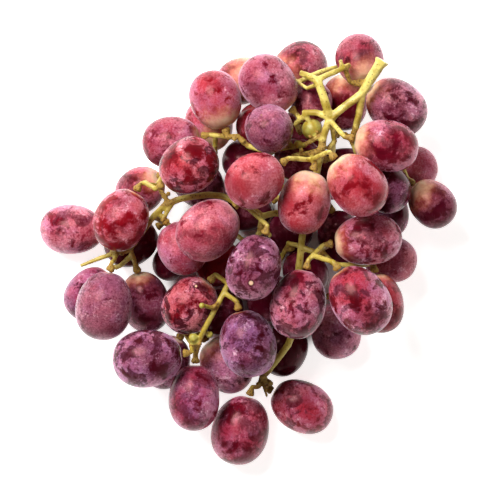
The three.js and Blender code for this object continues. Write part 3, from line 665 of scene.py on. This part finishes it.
def white_room():
    """Bright walls under a dim ceiling: they light the sides of the bunch and leave its top its shade."""
    look = bpy.context.scene.stage_look
    world = bpy.data.worlds.new("White room")
    world.use_nodes = True
    tree = world.node_tree
    tree.nodes.clear()
    way = add(tree, "ShaderNodeTexCoord").outputs["Generated"]
    height = add(tree, "ShaderNodeSeparateXYZ", {0: way}).outputs["Z"]
    light = add(
        tree,
        "ShaderNodeMapRange",
        {"Value": height, "From Min": 0.1, "From Max": 0.6, "To Min": look.walls, "To Max": look.sky},
        **SOFT,
    )
    background = add(tree, "ShaderNodeBackground", {"Color": look.floor, "Strength": light})
    add(tree, "ShaderNodeOutputWorld", {"Surface": background})
    return world


def nearness(point, spots, fade):
    """1 within any of the spots, falling to 0 at a distance in mm outside them."""
    best = 0
    for *place, radius in spots:
        outside = (point - Vector(place) * MM).length / MM - radius
        best = max(best, 1 - max(outside, 0) / fade)
    return best


def write_attribute(mesh, name, values):
    mesh.attributes.new(name, "FLOAT", "POINT").data.foreach_set("value", values)


def finish_piece(name, bm, material, node):
    """A bmesh as a smooth piece at the origin that rides on the bunch and stands for a node."""
    mesh = bpy.data.meshes.new(name)
    bm.to_mesh(mesh)
    bm.free()
    mesh.shade_smooth()
    mesh.materials.append(material)
    piece = bpy.data.objects.new(name, mesh)
    bpy.context.scene.collection.objects.link(piece)
    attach(piece, "root")
    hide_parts(node)
    return piece


def packed_solid(node):
    """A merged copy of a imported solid."""
    bm = bmesh.new()
    bm.from_mesh(frame["nodes"][node].data)
    bmesh.ops.remove_doubles(bm, verts=bm.verts, dist=SAME_CORNER)
    return bm


class PackedBerry:
    """Where a packed berry lies: its poles are its only corners with an edge to every facet."""

    def __init__(self, node):
        bm = packed_solid(node)
        poles = sorted(bm.verts, key=lambda corner: len(corner.link_edges))[-2:]
        if len(poles[0].link_edges) < BERRY_POLE_EDGES:
            raise RuntimeError(node + " has no poles")
        way = (poles[0].co - poles[1].co).normalized()
        # The stem end is sunk into its dimple, so it stands less high over its neighbours
        rise = [
            sum(abs((edge.other_vert(pole).co - pole.co).dot(way)) for edge in pole.link_edges)
            for pole in poles
        ]
        stem, tip = poles if rise[0] < rise[1] else poles[::-1]
        self.axis = (stem.co - tip.co).normalized()
        self.length = (stem.co - tip.co).length + DIMPLE_DEPTH
        self.middle = tip.co + self.axis * self.length / 2
        self.stem_end = self.middle + self.axis * self.length / 2
        girth = 0
        for corner in bm.verts:
            offset = corner.co - self.middle
            girth = max(girth, (offset - self.axis * offset.dot(self.axis)).length)
        self.width = 2 * girth / FACET_SWELL
        bm.free()


def dress_berry(node, material):
    """One berry, swollen unevenly, with a dimple at its stem and flat where it rests."""
    shape = bpy.context.scene.berry_shape
    packed = PackedBerry(node)
    bm = bmesh.new()
    bmesh.ops.create_icosphere(bm, subdivisions=shape.fineness, radius=1)
    half_length = packed.length / 2 - shape.skin_inset
    half_width = packed.width / 2 - shape.skin_inset
    power = 2 / shape.fullness
    stem_end = packed.middle + packed.axis * half_length
    tip = packed.middle - packed.axis * half_length
    from_stem, from_tip = [], []
    for corner in bm.verts:
        way = corner.co.normalized()
        up = way.dot(packed.axis)
        side = way - packed.axis * up
        along = math.copysign(abs(up) ** power, up)
        radius = half_width * side.length**power * (1 - shape.taper * along)
        point = packed.middle + packed.axis * (half_length * along) + side.normalized() * radius
        lump = noise.noise(point / shape.lump_size)
        point += way * (lump - shape.lump_sink) * shape.lump_height
        if up > 0:
            hollow = math.exp(-((2 * radius / shape.dimple_width) ** 2))
            point -= packed.axis * hollow * shape.dimple_depth
        point.z = max(point.z, 0)
        corner.co = point
        from_stem.append((point - stem_end).length / MM)
        from_tip.append((point - tip).length / MM)
    bmesh.ops.recalc_face_normals(bm, faces=bm.faces)
    piece = finish_piece(node + "_skin", bm, material, node)
    write_attribute(piece.data, "from_stem", from_stem)
    write_attribute(piece.data, "from_tip", from_tip)
    for name, value in zip(LOOK_NAMES, LOOKS.get(node, SHADED_LOOK)):
        write_attribute(piece.data, name, [value] * len(from_stem))


class GRAPES_OT_berries(bpy.types.Operator):
    """Dress every berry in its skin"""

    bl_idname = "grapes.berries"
    bl_label = "Berries"

    def execute(self, context):
        colours = context.scene.skin_colours
        materials = {
            "skin_crimson": grape_skin("Crimson grape skin", colours.crimson),
            "skin_rose": grape_skin("Rose grape skin", colours.rose),
            "skin_plum": grape_skin("Plum grape skin", colours.plum),
        }
        slots = {row["node"]: row["material_slot"] for row in frame["record"]["subparts"]}
        for node in BERRY_NODES:
            dress_berry(node, materials[slots[node]])
        return {"FINISHED"}


def grow_together(bm):
    """Skins the stems, buds and caps over as one, and rounds their forks; bm is used up."""
    look = bpy.context.scene.stalk_look
    rough = bpy.data.meshes.new("stalk_rough")
    bm.to_mesh(rough)
    bm.free()
    worker = bpy.data.objects.new("stalk_rough", rough)
    bpy.context.scene.collection.objects.link(worker)
    grown = worker.modifiers.new("Grown together", "REMESH")
    grown.mode = "VOXEL"
    grown.voxel_size = look.voxel
    rounded = worker.modifiers.new("Rounded", "SMOOTH")
    rounded.iterations = 5
    rounded.factor = 0.5
    evaluated = worker.evaluated_get(bpy.context.evaluated_depsgraph_get())
    bm = bmesh.new()
    bm.from_mesh(evaluated.to_mesh())
    bpy.data.objects.remove(worker)
    bpy.data.meshes.remove(rough)
    if not bm.faces:
        raise RuntimeError("the stalk has not grown together")
    bm.normal_update()
    return bm


class GRAPES_OT_stalk(bpy.types.Operator):
    """Round off the stalk, its shoots and the berries' short stems"""

    bl_idname = "grapes.stalk"
    bl_label = "Stalk"

    def execute(self, context):
        look = context.scene.stalk_look
        bm = packed_solid(STALK_NODE)
        for *place, radius in BUDS:
            there = Matrix.Translation(Vector(place) * MM)
            bmesh.ops.create_icosphere(bm, subdivisions=2, radius=radius * MM, matrix=there)
        bm = grow_together(bm)

        caps = [(*(PackedBerry(node).stem_end / MM), CAP_RADIUS) for node in BERRY_NODES]
        cut_level = max(corner.co.dot(CUT_WAY) for corner in bm.verts) - look.cut_depth
        dry, young, cut, moves = [], [], [], []
        for corner in bm.verts:
            point = corner.co
            dry.append(max(nearness(point, caps + BUDS, CAP_FADE), nearness(point, DRY_KNOTS, KNOT_FADE)))
            young.append(
                max(nearness(point, YOUNG_BERRIES, YOUNG_FADE), nearness(point, PALE_KNOBS, KNOB_FADE))
            )
            cut.append(1.0 if point.dot(CUT_WAY) > cut_level else 0.0)
            swells = SWELL_SHARE * noise.noise(point / look.swell)
            warts = (WART_SHARE + DRY_WART_SHARE * dry[-1]) * abs(noise.noise(point / look.wart))
            moves.append(corner.normal * (swells + warts) * (1 - young[-1]) * look.knot_height)
        for corner, move in zip(bm.verts, moves):
            corner.co += move
        piece = finish_piece("stalk_bark", bm, grape_bark(), STALK_NODE)
        for name, values in (("dry", dry), ("young", young), ("cut", cut)):
            write_attribute(piece.data, name, values)
        return {"FINISHED"}


def softbox(name, place, size, power):
    lamp = bpy.data.lights.new(name, "AREA")
    lamp.shape = "SQUARE"
    lamp.size = size
    lamp.energy = power
    rig = bpy.data.objects.new(name, lamp)
    rig.location = place
    rig.rotation_euler = (Vector(BUNCH_MIDDLE) - Vector(place)).to_track_quat("-Z", "Y").to_euler()
    bpy.context.scene.collection.objects.link(rig)


class GRAPES_OT_stage(bpy.types.Operator):
    """Lay the floor, and set the lights and the camera"""

    bl_idname = "grapes.stage"
    bl_label = "Stage"

    def execute(self, context):
        look = context.scene.stage_look
        bm = bmesh.new()
        bmesh.ops.create_grid(bm, x_segments=1, y_segments=1, size=FLOOR_REACH)
        mesh = bpy.data.meshes.new("floor")
        bm.to_mesh(mesh)
        bm.free()
        mesh.materials.append(light_table())
        floor = bpy.data.objects.new("floor", mesh)
        context.scene.collection.objects.link(floor)

        softbox("key_softbox", KEY_PLACE, KEY_SIZE, look.key_power)
        softbox("fill_softbox", FILL_PLACE, FILL_SIZE, look.fill_power)
        context.scene.world = white_room()

        camera = bpy.data.cameras.new("camera")
        camera.lens = camera.sensor_width * CAMERA_DISTANCE / FIELD_WIDTH
        camera.clip_end = 3 * CAMERA_DISTANCE
        rig = bpy.data.objects.new("camera", camera)
        rig.location = Vector(CAMERA_OFFSET) + Vector((0, 0, CAMERA_DISTANCE))
        context.scene.collection.objects.link(rig)
        context.scene.camera = rig
        context.scene.view_settings.view_transform = "Standard"
        return {"FINISHED"}


class GRAPES_PT_sidebar(bpy.types.Panel):
    """The steps that dress the bunch, and their settings"""

    bl_label = "Grapes"
    bl_space_type = "VIEW_3D"
    bl_region_type = "UI"
    bl_category = "Grapes"

    def draw(self, context):
        for operator in (GRAPES_OT_berries, GRAPES_OT_stalk, GRAPES_OT_stage):
            self.layout.operator(operator.bl_idname)
        for group in GROUPS:
            settings = getattr(context.scene, group)
            box = self.layout.box()
            for name in type(settings).__annotations__:
                box.prop(settings, name)


GROUPS = {
    "berry_shape": BerryShape,
    "skin_colours": SkinColours,
    "skin_pattern": SkinPattern,
    "stalk_look": StalkLook,
    "stage_look": StageLook,
}
CLASSES = (*GROUPS.values(), GRAPES_OT_berries, GRAPES_OT_stalk, GRAPES_OT_stage, GRAPES_PT_sidebar)


def register():
    for made in CLASSES:
        bpy.utils.register_class(made)
    for name, group in GROUPS.items():
        setattr(bpy.types.Scene, name, bpy.props.PointerProperty(type=group))


def unregister():
    for name in GROUPS:
        delattr(bpy.types.Scene, name)
    for made in reversed(CLASSES):
        bpy.utils.unregister_class(made)


def main():
    register()
    bpy.ops.grapes.berries()
    bpy.ops.grapes.stalk()
    bpy.ops.grapes.stage()


if __name__ == "__main__":
    main()
